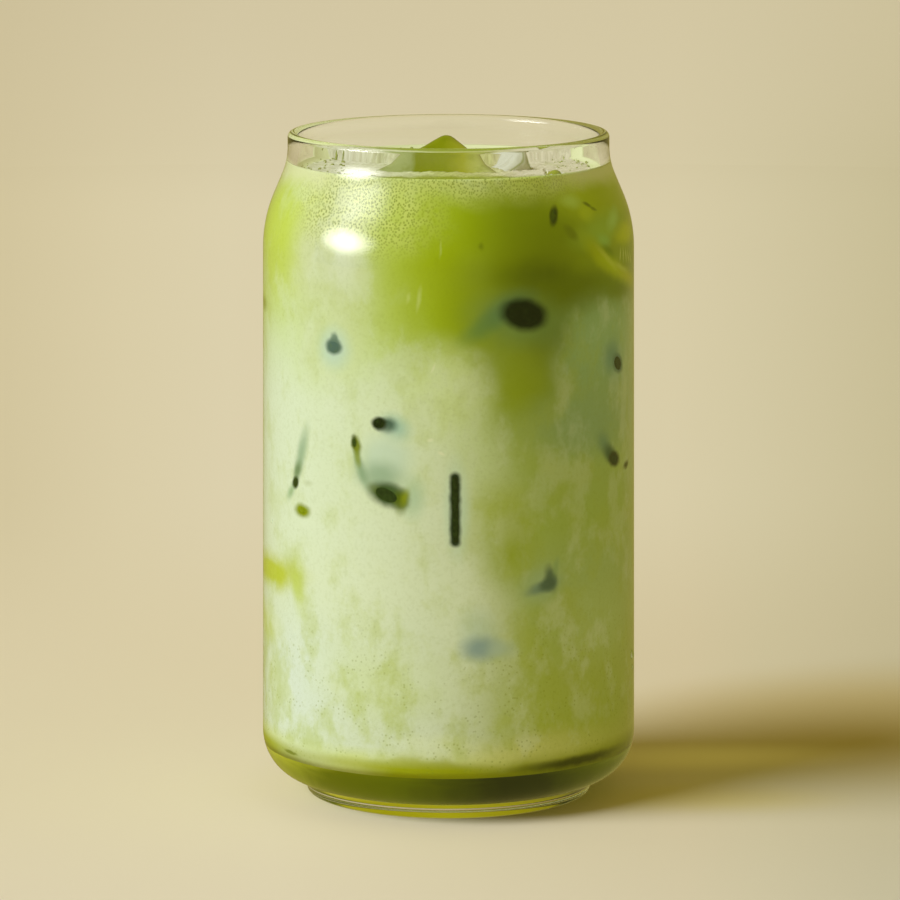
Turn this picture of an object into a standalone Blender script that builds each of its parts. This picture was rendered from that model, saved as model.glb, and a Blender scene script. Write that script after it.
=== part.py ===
"""An iced matcha latte in a can-shaped glass.

Metres, +Z up. The origin is the middle of the foot, and -Y is the front.
"""

import math

import bpy
from mathutils import Euler, Matrix, Vector

# Driving dimensions of the glass
GLASS_HEIGHT = 0.136
RIM_RADIUS = 0.0326
LIP_RADIUS = 0.0011
NECK_START = 0.133
NECK_CURVE = 0.014
SHOULDER_CURVE = 0.028
SHOULDER_LEAN = math.radians(23)
BODY_TOP_RADIUS = 0.0377
BODY_BASE_RADIUS = 0.0383
HEEL_HEIGHT = 0.0125
FOOT_TOP_RADIUS = 0.0300
FOOT_RADIUS = 0.0292
FOOT_HEIGHT = 0.0032
FOOT_EDGE = 0.0004
PUNT_RADIUS = 0.0262
PUNT_HEIGHT = 0.0024
WALL = 0.0022
FLOOR_EDGE = 0.0102
FLOOR_MIDDLE = 0.0076
FLOOR_CORNER = 0.0012

# The drink, and the room kept between pieces that touch
DRINK_LEVEL = 0.129
MENISCUS_RISE = 0.0008
MENISCUS_WIDTH = 0.0022
GAP = 0.0003

# Faces round the axis, and along the curves
TURN_STEPS = 72
SHOULDER_STEPS = 6
NECK_STEPS = 4
LIP_STEPS = 6
HEEL_STEPS = 7
BOWL_STEPS = 4
CORNER_STEPS = 3
PUNT_STEPS = 4
MENISCUS_STEPS = 4

# Ice that stands out of the drink: edge lengths, middle, turn in degrees and rounding of the edges
ICE = {
    "ice_front": ((0.0230, 0.0210, 0.0240), (-0.0014, -0.0117, 0.1193), (243.3, 158.0, 30.7), 0.0032),
    "ice_middle": ((0.0080, 0.0072, 0.0130), (0.0138, -0.0057, 0.1248), (-5.2, -28.2, 38.7), 0.0018),
    "ice_right": ((0.0092, 0.0084, 0.0128), (0.0204, -0.0151, 0.1225), (-31.9, 10.6, 108.1), 0.0013),
}
ICE_ROUNDING_STEPS = 3

GLASS_COLOUR = (0.90, 0.94, 0.88, 1.0)
DRINK_COLOUR = (0.50, 0.63, 0.22, 1.0)
ICE_COLOUR = (0.66, 0.76, 0.52, 1.0)


def clear_scene():
    """Remove every object of the open scene."""
    for item in list(bpy.data.objects):
        bpy.data.objects.remove(item, do_unlink=True)


def new_collection(name):
    """A collection linked to the scene."""
    collection = bpy.data.collections.new(name)
    bpy.context.scene.collection.children.link(collection)
    return collection


def material(name, colour, roughness, transmission):
    """A Principled material."""
    made = bpy.data.materials.new(name)
    made.use_nodes = True
    shader = made.node_tree.nodes["Principled BSDF"]
    shader.inputs["Base Color"].default_value = colour
    shader.inputs["Roughness"].default_value = roughness
    shader.inputs["Metallic"].default_value = 0.0
    shader.inputs["Transmission Weight"].default_value = transmission
    return made


def arc(middle, radius, height, start, end, steps):
    """Points (r, z) on an elliptical arc round middle, both ends included. Angles run from +r towards +z."""
    angles = [start + (end - start) * i / steps for i in range(steps + 1)]
    return [(middle[0] + radius * math.cos(a), middle[1] + height * math.sin(a)) for a in angles]


def shoulder_line(inset):
    """From the neck down to the straight body: a hollow curve, a straight lean and a round shoulder.

    inset moves the whole line towards the axis, square to itself.
    """
    neck_radius = NECK_CURVE + inset
    round_radius = SHOULDER_CURVE - inset
    neck_middle = (RIM_RADIUS + NECK_CURVE, NECK_START)
    neck = arc(neck_middle, neck_radius, neck_radius, math.pi, math.pi + SHOULDER_LEAN, NECK_STEPS)

    curved_fall = (NECK_CURVE + SHOULDER_CURVE) * (1 - math.cos(SHOULDER_LEAN))
    lean_fall = BODY_TOP_RADIUS - RIM_RADIUS - curved_fall
    lean_drop = lean_fall / math.tan(SHOULDER_LEAN)
    curved_drop = (NECK_CURVE + SHOULDER_CURVE) * math.sin(SHOULDER_LEAN)
    round_middle = (BODY_TOP_RADIUS - SHOULDER_CURVE, NECK_START - curved_drop - lean_drop)
    shoulder = arc(round_middle, round_radius, round_radius, SHOULDER_LEAN, 0, SHOULDER_STEPS)
    return neck + shoulder


def body_radius(height):
    """The outer radius of the straight body, which narrows very slightly upwards."""
    top = shoulder_line(0)[-1][1]
    share = (height - HEEL_HEIGHT) / (top - HEEL_HEIGHT)
    return BODY_BASE_RADIUS + (BODY_TOP_RADIUS - BODY_BASE_RADIUS) * share


def outer_line():
    """The outside of the glass, from the lip's top down to the middle of the underside."""
    lip_middle = (RIM_RADIUS - LIP_RADIUS, GLASS_HEIGHT - LIP_RADIUS)
    lip = arc(lip_middle, LIP_RADIUS, LIP_RADIUS, math.pi / 2, 0, LIP_STEPS // 2)
    heel_middle = (FOOT_TOP_RADIUS, HEEL_HEIGHT)
    heel_width = BODY_BASE_RADIUS - FOOT_TOP_RADIUS
    heel_drop = HEEL_HEIGHT - FOOT_HEIGHT
    heel = arc(heel_middle, heel_width, heel_drop, 0, -math.pi / 2, HEEL_STEPS)
    foot = [(FOOT_RADIUS, FOOT_EDGE), (FOOT_RADIUS - FOOT_EDGE, 0.0), (PUNT_RADIUS, 0.0)]
    shares = [1 - i / PUNT_STEPS for i in range(1, PUNT_STEPS + 1)]
    punt = [(PUNT_RADIUS * s, PUNT_HEIGHT * (1 - s * s)) for s in shares]
    return lip + shoulder_line(0) + heel + foot + punt


def inner_line(inset, top):
    """The hollow of the glass, from the middle of its floor up to the height top.

    The floor is a shallow bowl with a small corner at the wall. inset is the distance kept from the outer
    surface at the wall; WALL gives the glass itself, and more than that keeps the rest away from the floor too.
    """
    extra = inset - WALL
    corner = FLOOR_CORNER - extra
    low_radius = body_radius(FLOOR_EDGE + FLOOR_CORNER) - inset
    corner_middle = (low_radius - corner, FLOOR_EDGE + FLOOR_CORNER)
    turn = arc(corner_middle, corner, corner, -math.pi / 2, 0, CORNER_STEPS)
    bowl_radius = low_radius - corner
    bowl_depth = FLOOR_EDGE - FLOOR_MIDDLE
    bowl = []
    for i in range(BOWL_STEPS):
        share = i / BOWL_STEPS
        lift = extra * math.hypot(1, 2 * bowl_depth * share / bowl_radius)
        bowl.append((bowl_radius * share, FLOOR_MIDDLE + bowl_depth * share * share + lift))
    wall = list(reversed(shoulder_line(inset)))
    return cut_off(bowl + turn + wall, top)


def cut_off(line, top):
    """The rising line up to the height top, with its last point at that height."""
    kept = [line[0]]
    for lower, upper in zip(line, line[1:]):
        if upper[1] >= top:
            share = (top - lower[1]) / (upper[1] - lower[1])
            kept.append((lower[0] + (upper[0] - lower[0]) * share, top))
            return kept
        kept.append(upper)
    kept.append((line[-1][0], top))
    return kept


def drink_line():
    """The drink: up the wall of the glass to the meniscus, and in over the surface to the axis."""
    wall = inner_line(WALL + GAP, DRINK_LEVEL + MENISCUS_RISE)
    edge = wall[-1][0]
    surface = [
        (edge - MENISCUS_WIDTH * s, DRINK_LEVEL + MENISCUS_RISE * (1 - s) ** 2)
        for s in ((i + 1) / MENISCUS_STEPS for i in range(MENISCUS_STEPS))
    ]
    return list(reversed(wall + surface + [(0.0, DRINK_LEVEL)]))


def glass_line():
    """The whole section of the glass: floor, inner wall, lip, outer wall, heel, foot and underside."""
    inner_lip = RIM_RADIUS - 2 * LIP_RADIUS
    inside = inner_line(WALL, NECK_START)
    lip_middle = (inner_lip + LIP_RADIUS, GLASS_HEIGHT - LIP_RADIUS)
    lip = arc(lip_middle, LIP_RADIUS, LIP_RADIUS, math.pi, math.pi / 2, LIP_STEPS // 2)
    return inside + lip[:-1] + outer_line()


def turned(name, line, finish, collection):
    """A body turned about +Z from a section line that runs down its outer side."""
    mesh = bpy.data.meshes.new(name)
    points = [(r, 0.0, z) for r, z in line]
    edges = [(i, i + 1) for i in range(len(points) - 1)]
    mesh.from_pydata(points, edges, [])
    mesh.materials.append(finish)
    body = bpy.data.objects.new(name, mesh)
    collection.objects.link(body)
    screw = body.modifiers.new("turn", "SCREW")
    screw.axis = "Z"
    screw.angle = 2 * math.pi
    screw.steps = TURN_STEPS
    screw.render_steps = TURN_STEPS
    screw.use_merge_vertices = True
    screw.merge_threshold = 0.00001
    screw.use_smooth_shade = True
    return body


def ice_block(name, grown, finish, collection):
    """One rounded block of ice, grown by a margin on every side."""
    size, middle, turn, rounding = ICE[name]
    bpy.ops.mesh.primitive_cube_add(size=1.0)
    block = bpy.context.object
    block.name = name
    for other in list(block.users_collection):
        other.objects.unlink(block)
    collection.objects.link(block)
    block.data.transform(Matrix.Diagonal(Vector(size) + Vector((2 * grown,) * 3)).to_4x4())
    block.location = middle
    block.rotation_euler = Euler([math.radians(a) for a in turn], "XYZ")
    bevel = block.modifiers.new("melted edges", "BEVEL")
    bevel.width = rounding + grown
    bevel.segments = ICE_ROUNDING_STEPS
    bevel.limit_method = "NONE"
    block.data.materials.append(finish)
    block.data.shade_smooth()
    return block


def cut_round(body, cutter):
    """Take the cutter's space out of the body."""
    cut = body.modifiers.new("room for " + cutter.name, "BOOLEAN")
    cut.operation = "DIFFERENCE"
    cut.solver = "EXACT"
    cut.object = cutter
    cutter.hide_render = True
    cutter.display_type = "WIRE"


def main():
    """Build the glass, the drink in it and the ice that stands out of the drink."""
    clear_scene()
    parts = new_collection("iced_matcha_latte")
    cutters = new_collection("cutters")

    glass_finish = material("clear_glass", GLASS_COLOUR, 0.02, 1.0)
    drink_finish = material("matcha_and_milk", DRINK_COLOUR, 0.35, 0.0)
    ice_finish = material("clear_ice", ICE_COLOUR, 0.08, 0.8)

    turned("glass", glass_line(), glass_finish, parts)
    drink = turned("drink", drink_line(), drink_finish, parts)
    for name in ICE:
        ice_block(name, 0.0, ice_finish, parts)
        room = ice_block(name, GAP, ice_finish, cutters)
        room.name = "room_" + name
        cut_round(drink, room)


main()
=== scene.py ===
"""The looks of an iced matcha latte in a can-shaped glass.

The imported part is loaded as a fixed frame, and every piece here lies where its solids are. +Z is up, and -Y
is towards the viewer. Lengths are in millimetres and angles in degrees, until a mesh or a light is made.
Colours are what a screen shows of them, from 0 to 255, unless they have four parts.
"""

import math

import bpy
import numpy as np
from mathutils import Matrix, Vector


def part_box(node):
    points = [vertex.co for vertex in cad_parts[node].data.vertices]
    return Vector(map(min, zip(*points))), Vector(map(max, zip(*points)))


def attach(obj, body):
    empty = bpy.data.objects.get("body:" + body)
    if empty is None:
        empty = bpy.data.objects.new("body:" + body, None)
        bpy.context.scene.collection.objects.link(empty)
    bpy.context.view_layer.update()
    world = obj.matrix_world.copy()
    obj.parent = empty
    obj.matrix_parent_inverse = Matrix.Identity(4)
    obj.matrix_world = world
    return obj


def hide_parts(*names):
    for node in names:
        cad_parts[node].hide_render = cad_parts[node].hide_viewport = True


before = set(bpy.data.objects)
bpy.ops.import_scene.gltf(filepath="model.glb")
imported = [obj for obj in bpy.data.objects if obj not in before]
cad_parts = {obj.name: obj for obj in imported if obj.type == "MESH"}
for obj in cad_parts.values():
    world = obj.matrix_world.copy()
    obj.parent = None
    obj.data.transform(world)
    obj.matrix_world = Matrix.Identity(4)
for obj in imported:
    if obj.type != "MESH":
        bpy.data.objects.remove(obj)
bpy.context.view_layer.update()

MM = 0.001

# The glass, as its solid has it
GLASS_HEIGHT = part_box("glass")[1][2] / MM
BODY_BASE_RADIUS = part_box("glass")[1][0] / MM
BODY_TOP_RADIUS = BODY_BASE_RADIUS - 0.6
RIM_RADIUS = BODY_BASE_RADIUS - 5.7
LIP_RADIUS = 1.1
NECK_START = GLASS_HEIGHT - 3.0
NECK_CURVE = 14.0
SHOULDER_CURVE = 28.0
SHOULDER_LEAN = math.radians(23)
HEEL_HEIGHT = 12.5
FOOT_TOP_RADIUS = 30.0
FOOT_RADIUS = 29.2
FOOT_HEIGHT = 3.2
FOOT_EDGE = 0.4
PUNT_RADIUS = 26.2
PUNT_HEIGHT = 2.4
WALL = 2.2
FLOOR_EDGE = 10.2
FLOOR_MIDDLE = 7.6
FLOOR_CORNER = 1.2

# The drink reaches just into the wall of the glass
DRINK_LEVEL = 129.0
MENISCUS_RISE = 0.8
MENISCUS_WIDTH = 2.2
DRINK_REACH = 0.16
WALL_RADIUS = 36.0

TURN_STEPS = 320
GLASS_STEPS = 16
DRINK_STEPS = 12
BODY_POINTS = 24
MENISCUS_POINTS = 9
SURFACE_RINGS = 140
FLOOR_RINGS = 14

# The drink's surface: swells and foam bumps, each a height and two waves (per x, per y, start) that are
# multiplied; the calm ring by the wall; the lift against the ice, and the pit that the ice sits in
SWELLS = (
    (0.16, (0.9, 0.4, 1.0), (0.35, -0.8, 0.0)),
    (0.07, (2.3, 0.0, 1.1), (0.0, 2.9, -0.6)),
    (0.05, (4.7, -2.0, 0.0), (0.0, 0.0, math.pi / 2)),
)
CALM_RADIUS = 33.0
CALM_WIDTH = 3.0
ICE_LIFT = 0.55
ICE_LIFT_REACH = 1.1
PIT_EDGE = 1.2
PIT_DEPTH = 22.0

# Ice that stands out of the drink: edge lengths, middle, turn (X, Y, Z in turn) and rounding of the edges
ICE = {
    "ice_front": ((23.0, 21.0, 24.0), (-1.4, -11.7, 119.3), (243.3, 158.0, 30.7), 2.4),
    "ice_middle": ((8.0, 7.2, 13.0), (13.8, -5.7, 124.8), (-5.2, -28.2, 38.7), 1.8),
    "ice_right": ((9.2, 8.4, 12.8), (20.4, -15.1, 122.5), (-31.9, 10.6, 108.1), 1.3),
}
ICE_STEPS = 28
ICE_WAVE = 0.05
ICE_WAVE_LENGTHS = (9.0, 5.0, 3.1)
CORNER_LOSS = 0.18

# Tips of sunk ice that press on the wall: round, up, half width, half height, turn, squareness, shade. Places
# are (round, up): millimetres round the wall from the front, to the right, and above the table.
SUNK_ICE = {
    "large_tip": (15.3, 103.3, 3.2, 2.0, -14, 2.2, 0.0),
    "upper_tip": (23.2, 121.9, 0.5, 1.3, -28, 2.0, 0.5),
    "grey_tip": (-24.2, 96.1, 1.2, 1.1, 0, 2.0, 1.0),
    "brow_tip": (-13.9, 81.5, 1.0, 0.8, -6, 2.2, 0.05),
    "broad_edge": (-12.4, 67.3, 2.3, 1.2, -22, 2.2, 0.22),
    "left_sliver": (-19.3, 77.3, 0.35, 0.8, 6, 2.0, 0.3),
    "far_left_tip": (-35.2, 67.4, 0.5, 0.8, -35, 2.0, 0.2),
    "yellow_tip": (-33.0, 62.0, 1.2, 0.6, 0, 2.0, 0.74),
    "upright_edge": (1.3, 64.7, 0.55, 6.6, 1, 6.0, 0.12),
    "right_tip": (41.8, 90.7, 1.7, 1.2, -35, 2.2, 0.2),
    "low_right_tip": (40.2, 71.4, 1.4, 0.9, -16, 2.2, 0.22),
    "small_right_tip": (46.5, 69.2, 0.9, 0.4, 6, 2.0, 0.45),
    "back_left_tip": (-92.0, 82.0, 2.2, 1.2, 24, 2.4, 0.1),
    "back_right_tip": (86.0, 64.0, 1.5, 1.0, -12, 2.2, 0.2),
    "back_large_tip": (102.0, 104.0, 3.0, 1.7, 10, 2.2, 0.0),
}
TIP_BULGE = 0.06
TIP_DEPTH = 3.0
TIP_STEPS = 8

# Bubbles on the surface, by size in millimetres, and the angles of a bubble's rings above the surface
BUBBLE_COUNT = 420
BUBBLE_SIZES = (0.16, 0.5)
BUBBLE_REACH = (21.0, 30.2)
BUBBLE_SINK = 0.2
BUBBLE_STEPS = 8
BUBBLE_TILTS = (-20, 15, 45, 70)

# Beads of water on the outside of the glass: round, up, half width and half height
BEADS = {
    "right_bead": (49.5, 29.2, 0.8, 1.0),
    "low_bead": (50.5, 26.4, 0.4, 0.5),
    "left_bead": (-44.0, 58.0, 0.35, 0.45),
}
BEAD_BULGE = 0.55
BEAD_SINK = 0.1

# The camera looks down a little
CAMERA_PLACE = (0.3, -1075.0, 256.0)
CAMERA_AIM = (0.3, 0.0, 70.4)
CAMERA_LENS = 213.2
CAMERA_SENSOR = 36.0

# The stage: radii of the floor's rings, and the sweep that rises round it
FLOOR_RADII = (60.0, 200.0, 1100.0)
SWEEP_CURVE = 900.0
SWEEP_TOP = 1500.0
STAGE_STEPS = 96

# Light: the broad side light and the panel that shines in the glass. A place is an azimuth to the right of
# the viewer, an elevation, a distance and the height that these are counted from.
SIDE_LIGHT = (-66.0, 45.0, 1000.0, 60.0)
SIDE_POWER = 2.64
SIDE_COLOUR = (0.89, 0.95, 1.04)
SIDE_WIDTH = 32.0
WINDOW_PLACE = (-66.0, 17.0, 950.0, 118.0)
WINDOW_HALF = (430.0, 420.0)
WINDOW_GLOW = 8.0
WINDOW_CORE = 17.0
WINDOW_COLOUR = (1.0, 1.0, 0.97, 1.0)
FILL = (0.34, 0.285, 0.075, 1.0)


# Shapes


def arc(middle, radius, height, start, end, steps):
    """Points (r, z) of an ellipse's arc: middle + (radius cos a, height sin a), with a from start to end."""
    a = np.linspace(start, end, steps + 1)
    return np.stack([middle[0] + radius * np.cos(a), middle[1] + height * np.sin(a)], axis=1)


def shoulder_line(inset, steps):
    """From the neck down to the body: a hollow arc, a straight lean and a round arc, moved in by inset."""
    turn = math.cos(SHOULDER_LEAN)
    lean_fall = BODY_TOP_RADIUS - RIM_RADIUS - (NECK_CURVE + SHOULDER_CURVE) * (1 - turn)
    drop = (NECK_CURVE + SHOULDER_CURVE) * math.sin(SHOULDER_LEAN) + lean_fall / math.tan(SHOULDER_LEAN)
    neck_middle = (RIM_RADIUS + NECK_CURVE, NECK_START)
    round_middle = (BODY_TOP_RADIUS - SHOULDER_CURVE, NECK_START - drop)
    hollow = NECK_CURVE + inset
    bulge = SHOULDER_CURVE - inset
    neck = arc(neck_middle, hollow, hollow, math.pi, math.pi + SHOULDER_LEAN, steps)
    shoulder = arc(round_middle, bulge, bulge, SHOULDER_LEAN, 0, steps)
    return np.concatenate([neck, shoulder])


def body_radius(height):
    """The outer radius of the body: a straight line between its widths at the heel and under the shoulder."""
    top = shoulder_line(0, 1)[-1, 1]
    share = (height - HEEL_HEIGHT) / (top - HEEL_HEIGHT)
    return BODY_BASE_RADIUS + (BODY_TOP_RADIUS - BODY_BASE_RADIUS) * share


def inner_line(inset, steps):
    """The hollow of the glass: from the axis over a floor that rises by the square of r, and up the wall."""
    extra = inset - WALL
    corner = FLOOR_CORNER - extra
    low = body_radius(FLOOR_EDGE + FLOOR_CORNER) - inset
    turn = arc((low - corner, FLOOR_EDGE + FLOOR_CORNER), corner, corner, -math.pi / 2, 0, steps)
    share = np.linspace(0, 1, steps + 1)[:-1]
    bowl = FLOOR_MIDDLE + (FLOOR_EDGE - FLOOR_MIDDLE) * share ** 2 + extra
    floor = np.stack([turn[0, 0] * share, bowl], axis=1)
    wall = shoulder_line(inset, steps)[::-1]
    body = np.linspace(turn[-1], wall[0], BODY_POINTS)[1:-1]
    return np.concatenate([floor, turn, body, wall])


def outer_line(steps):
    """The outside, from a hollow underside that falls by the square of r, over foot and heel to the neck."""
    share = np.linspace(0, 1, steps + 1)
    punt = np.stack([PUNT_RADIUS * share, PUNT_HEIGHT * (1 - share ** 2)], axis=1)
    edge = arc((FOOT_RADIUS - FOOT_EDGE, FOOT_EDGE), FOOT_EDGE, FOOT_EDGE, -math.pi / 2, 0, 4)
    heel_width = body_radius(HEEL_HEIGHT) - FOOT_TOP_RADIUS
    heel_drop = HEEL_HEIGHT - FOOT_HEIGHT
    heel = arc((FOOT_TOP_RADIUS, HEEL_HEIGHT), heel_width, heel_drop, -math.pi / 2, 0, 2 * steps)
    wall = shoulder_line(0, steps)[::-1]
    body = np.linspace(heel[-1], wall[0], BODY_POINTS)[1:-1]
    return np.concatenate([punt, edge, heel, body, wall])


def cut_line(line, top):
    """The rising line up to the height top, where it is cut level."""
    kept = line[line[:, 1] < top]
    lower, upper = line[len(kept) - 1:len(kept) + 1]
    last = np.interp(top, (lower[1], upper[1]), (lower[0], upper[0]))
    return np.concatenate([kept, [(last, top)]])


def glass_line():
    """The whole section of the glass: outside, lip and inside, back to the axis."""
    outside = outer_line(GLASS_STEPS)
    inside = inner_line(WALL, GLASS_STEPS)[::-1]
    lip_middle = (RIM_RADIUS - LIP_RADIUS, GLASS_HEIGHT - LIP_RADIUS)
    lip = arc(lip_middle, LIP_RADIUS, LIP_RADIUS, 0, math.pi, GLASS_STEPS)
    return np.concatenate([outside, lip, inside])


def turned_rings(line, steps):
    """Points of a line turned about the axis: (r sin t, -r cos t, z), ring after ring."""
    t = np.linspace(0, 2 * math.pi, steps, endpoint=False)
    r = line[:, :1]
    z = np.broadcast_to(line[:, 1:], (len(line), steps))
    return np.stack([r * np.sin(t), -r * np.cos(t), z], axis=-1).reshape(-1, 3)


def turned(line, steps):
    """Points, quads and fans of a line turned about the axis, its two ends as poles on the axis."""
    rings = turned_rings(line[1:-1], steps)
    points = np.concatenate([rings, [(0, 0, line[0, 1]), (0, 0, line[-1, 1])]])
    return points, *turned_faces(len(line) - 2, steps)


def turned_faces(rings, steps):
    """Faces of a turned grid, ring above ring, and the two fans that close it round its poles."""
    here = np.arange(steps)
    following = (here + 1) % steps
    low = (np.arange(rings - 1) * steps)[:, None]
    high = low + steps
    quads = np.stack([low + here, low + following, high + following, high + here], axis=-1)
    last = (rings - 1) * steps
    low_pole = np.full(steps, rings * steps)
    high_pole = low_pole + 1
    low_fan = np.stack([low_pole, following, here], axis=-1)
    high_fan = np.stack([high_pole, last + here, last + following], axis=-1)
    return quads.reshape(-1, 4), np.concatenate([low_fan, high_fan])


def block_grid(steps):
    """Points and quads of a cube's surface from -1 to 1, as six grids whose shared edges are merged."""
    s = np.linspace(-1, 1, steps + 1)
    u, v = np.meshgrid(s, s, indexing="ij")
    one = np.ones_like(u)
    sides = [(u, v, one), (v, u, -one), (one, u, v), (-one, v, u), (v, one, u), (u, -one, v)]
    points = np.concatenate([np.stack(side, axis=-1).reshape(-1, 3) for side in sides])
    row = np.arange(steps)
    corner = (row[:, None] * (steps + 1) + row[None, :]).reshape(-1)
    quad = np.stack([corner, corner + steps + 1, corner + steps + 2, corner + 1], axis=-1)
    quads = np.concatenate([quad + k * (steps + 1) ** 2 for k in range(len(sides))])
    merged, place = np.unique(np.round(points, 6), axis=0, return_inverse=True)
    return merged, place.reshape(-1)[quads]


def turn_matrix(turn):
    """The rotation by the angles turn about X, then Y, then Z."""
    (cx, cy, cz), (sx, sy, sz) = np.cos(np.radians(turn)), np.sin(np.radians(turn))
    about_x = np.array([[1, 0, 0], [0, cx, -sx], [0, sx, cx]])
    about_y = np.array([[cy, 0, sy], [0, 1, 0], [-sy, 0, cy]])
    about_z = np.array([[cz, -sz, 0], [sz, cz, 0], [0, 0, 1]])
    return about_z @ about_y @ about_x


def ice_points(size, middle, turn, rounding, wave, seed):
    """A melted block: the nearest point of a smaller box plus rounding along the way out, sunk in soft waves.

    The waves are sines of the place along the block, with seeded directions, and only ever take ice away.
    """
    grid, quads = block_grid(ICE_STEPS)
    half = np.array(size) / 2
    core = half - rounding
    start = grid * half
    inner = np.clip(start, -core, core)
    out = start - inner
    out /= np.linalg.norm(out, axis=1, keepdims=True)
    draw = np.random.default_rng(seed)
    hollow = np.zeros(len(start))
    for length in ICE_WAVE_LENGTHS:
        way = draw.normal(size=3)
        way *= 2 * math.pi / length / np.linalg.norm(way)
        share = wave * length / ICE_WAVE_LENGTHS[0]
        hollow += share * (1 + np.sin(start @ way + draw.uniform(0, 2 * math.pi)))
    block = inner + out * (rounding - hollow)[:, None]
    axes = turn_matrix(turn).T
    return block @ axes + np.array(middle), quads, (out @ axes)[:, 0]


def block_span(name, x, y):
    """Lowest and highest z of a block of ice over (x, y), and their distance, below 0 outside it.

    A vertical line is in the block from the last of its three slabs that it enters to the first it leaves.
    """
    size, middle, turn, rounding = ICE[name]
    axes = turn_matrix(turn)
    start = np.stack([x - middle[0], y - middle[1], np.zeros_like(x)], axis=-1) @ axes
    step = axes[2]
    half = np.array(size) / 2 - CORNER_LOSS * rounding
    near = (-np.sign(step) * half - start) / step
    far = (np.sign(step) * half - start) / step
    low = near.max(axis=-1)
    high = far.min(axis=-1)
    return low + middle[2], high + middle[2], high - low


def drink_surface(x, y):
    """Height of the drink: its level and swells, a lift against the ice and a pit where the ice sits.

    A swell is a height times sin(ax + by + c) times another such sine, and fades out by the wall. The lift
    falls off exponentially with the distance from the ice.
    """
    bumps = np.zeros_like(x)
    for swell, (ax, ay, a), (bx, by, b) in SWELLS:
        bumps += swell * np.sin(ax * x + ay * y + a) * np.sin(bx * x + by * y + b)
    calm = np.clip((CALM_RADIUS - np.hypot(x, y)) / CALM_WIDTH, 0, 1)
    height = DRINK_LEVEL + bumps * calm
    for name in ICE:
        low, high, span = block_span(name, x, y)
        inside = np.minimum(np.minimum(DRINK_LEVEL - low, high - DRINK_LEVEL), span)
        sunk = np.clip(inside / PIT_EDGE, 0, 1)
        lift = ICE_LIFT * np.exp(-np.clip(-inside, 0, None) / ICE_LIFT_REACH)
        floor = np.clip(low, DRINK_LEVEL - PIT_DEPTH, None)
        height = np.where(inside > 0, height + sunk * (floor - height), height + lift)
    return height


def drink_line():
    """The section of the drink, and where its surface starts: floor, wall, meniscus and level surface."""
    wall = cut_line(inner_line(WALL - DRINK_REACH, DRINK_STEPS), DRINK_LEVEL + MENISCUS_RISE)
    edge = wall[-1, 0]
    share = np.linspace(0, 1, MENISCUS_POINTS)[1:]
    rise = DRINK_LEVEL + MENISCUS_RISE * (1 - share) ** 2
    meniscus = np.stack([edge - MENISCUS_WIDTH * share, rise], axis=1)
    r = np.linspace(meniscus[-1, 0], 0, SURFACE_RINGS)[1:]
    surface = np.stack([r, np.full_like(r, DRINK_LEVEL)], axis=1)
    return np.concatenate([wall, meniscus, surface]), len(wall) + len(meniscus) - 1


def swollen_block(half, power, steps):
    """Points of a superellipsoid: a cube's grid divided by its own power norm, times the half sizes."""
    grid, quads = block_grid(steps)
    norm = (np.abs(grid) ** power).sum(axis=1, keepdims=True) ** (1 / power)
    return grid / norm * half, quads


def wall_point(round_, up, radius):
    """Points at radius, round millimetres round the wall from the front and up above the table."""
    a = round_ / WALL_RADIUS
    return np.stack([radius * np.sin(a), -radius * np.cos(a), up], axis=-1)


def keep_value(piece, name, values):
    """A number for each point of a piece, which its material reads by name."""
    kept = piece.data.attributes.new(name, "FLOAT", "POINT")
    kept.data.foreach_set("value", values.astype(np.float32))


def put_mesh(name, points, faces, finish, slot=None, stands_for=()):
    """A mesh object at the origin from points in millimetres and arrays of faces; a slot makes it a piece."""
    mesh = bpy.data.meshes.new(name)
    sizes = np.concatenate([np.full(len(f), f.shape[1]) for f in faces])
    corners = np.concatenate([f.reshape(-1) for f in faces]).astype(np.int32)
    mesh.vertices.add(len(points))
    mesh.vertices.foreach_set("co", (np.asarray(points) * MM).astype(np.float32).reshape(-1))
    mesh.loops.add(len(corners))
    mesh.loops.foreach_set("vertex_index", corners)
    mesh.polygons.add(len(sizes))
    mesh.polygons.foreach_set("loop_start", (np.cumsum(sizes) - sizes).astype(np.int32))
    mesh.polygons.foreach_set("use_smooth", np.ones(len(sizes), bool))
    mesh.update(calc_edges=True)
    mesh.validate()
    mesh.materials.append(finish)
    piece = bpy.data.objects.new(name, mesh)
    bpy.context.scene.collection.objects.link(piece)
    if slot:
        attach(piece, "root")
    for node in stands_for:
        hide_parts(node)
    return piece


# Materials

ICE_IOR = 1.31
WATER_IOR = 1.33
GLASS_IOR = 1.5


class Wire:
    """One output of a node. Arithmetic with wires and numbers adds Math nodes to its material."""

    def __init__(self, finish, socket):
        self.finish = finish
        self.socket = socket

    def math(self, operation, *values):
        return self.finish.node("ShaderNodeMath", {"operation": operation}, dict(enumerate(values)))

    def __add__(self, other):
        return self.math("ADD", self, other)

    def __sub__(self, other):
        return self.math("SUBTRACT", self, other)

    def __rsub__(self, other):
        return self.math("SUBTRACT", other, self)

    def __mul__(self, other):
        return self.math("MULTIPLY", self, other)

    def magnitude(self):
        return self.math("ABSOLUTE", self)

    def largest(self, other):
        return self.math("MAXIMUM", self, other)

    __radd__ = __add__
    __rmul__ = __mul__


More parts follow.
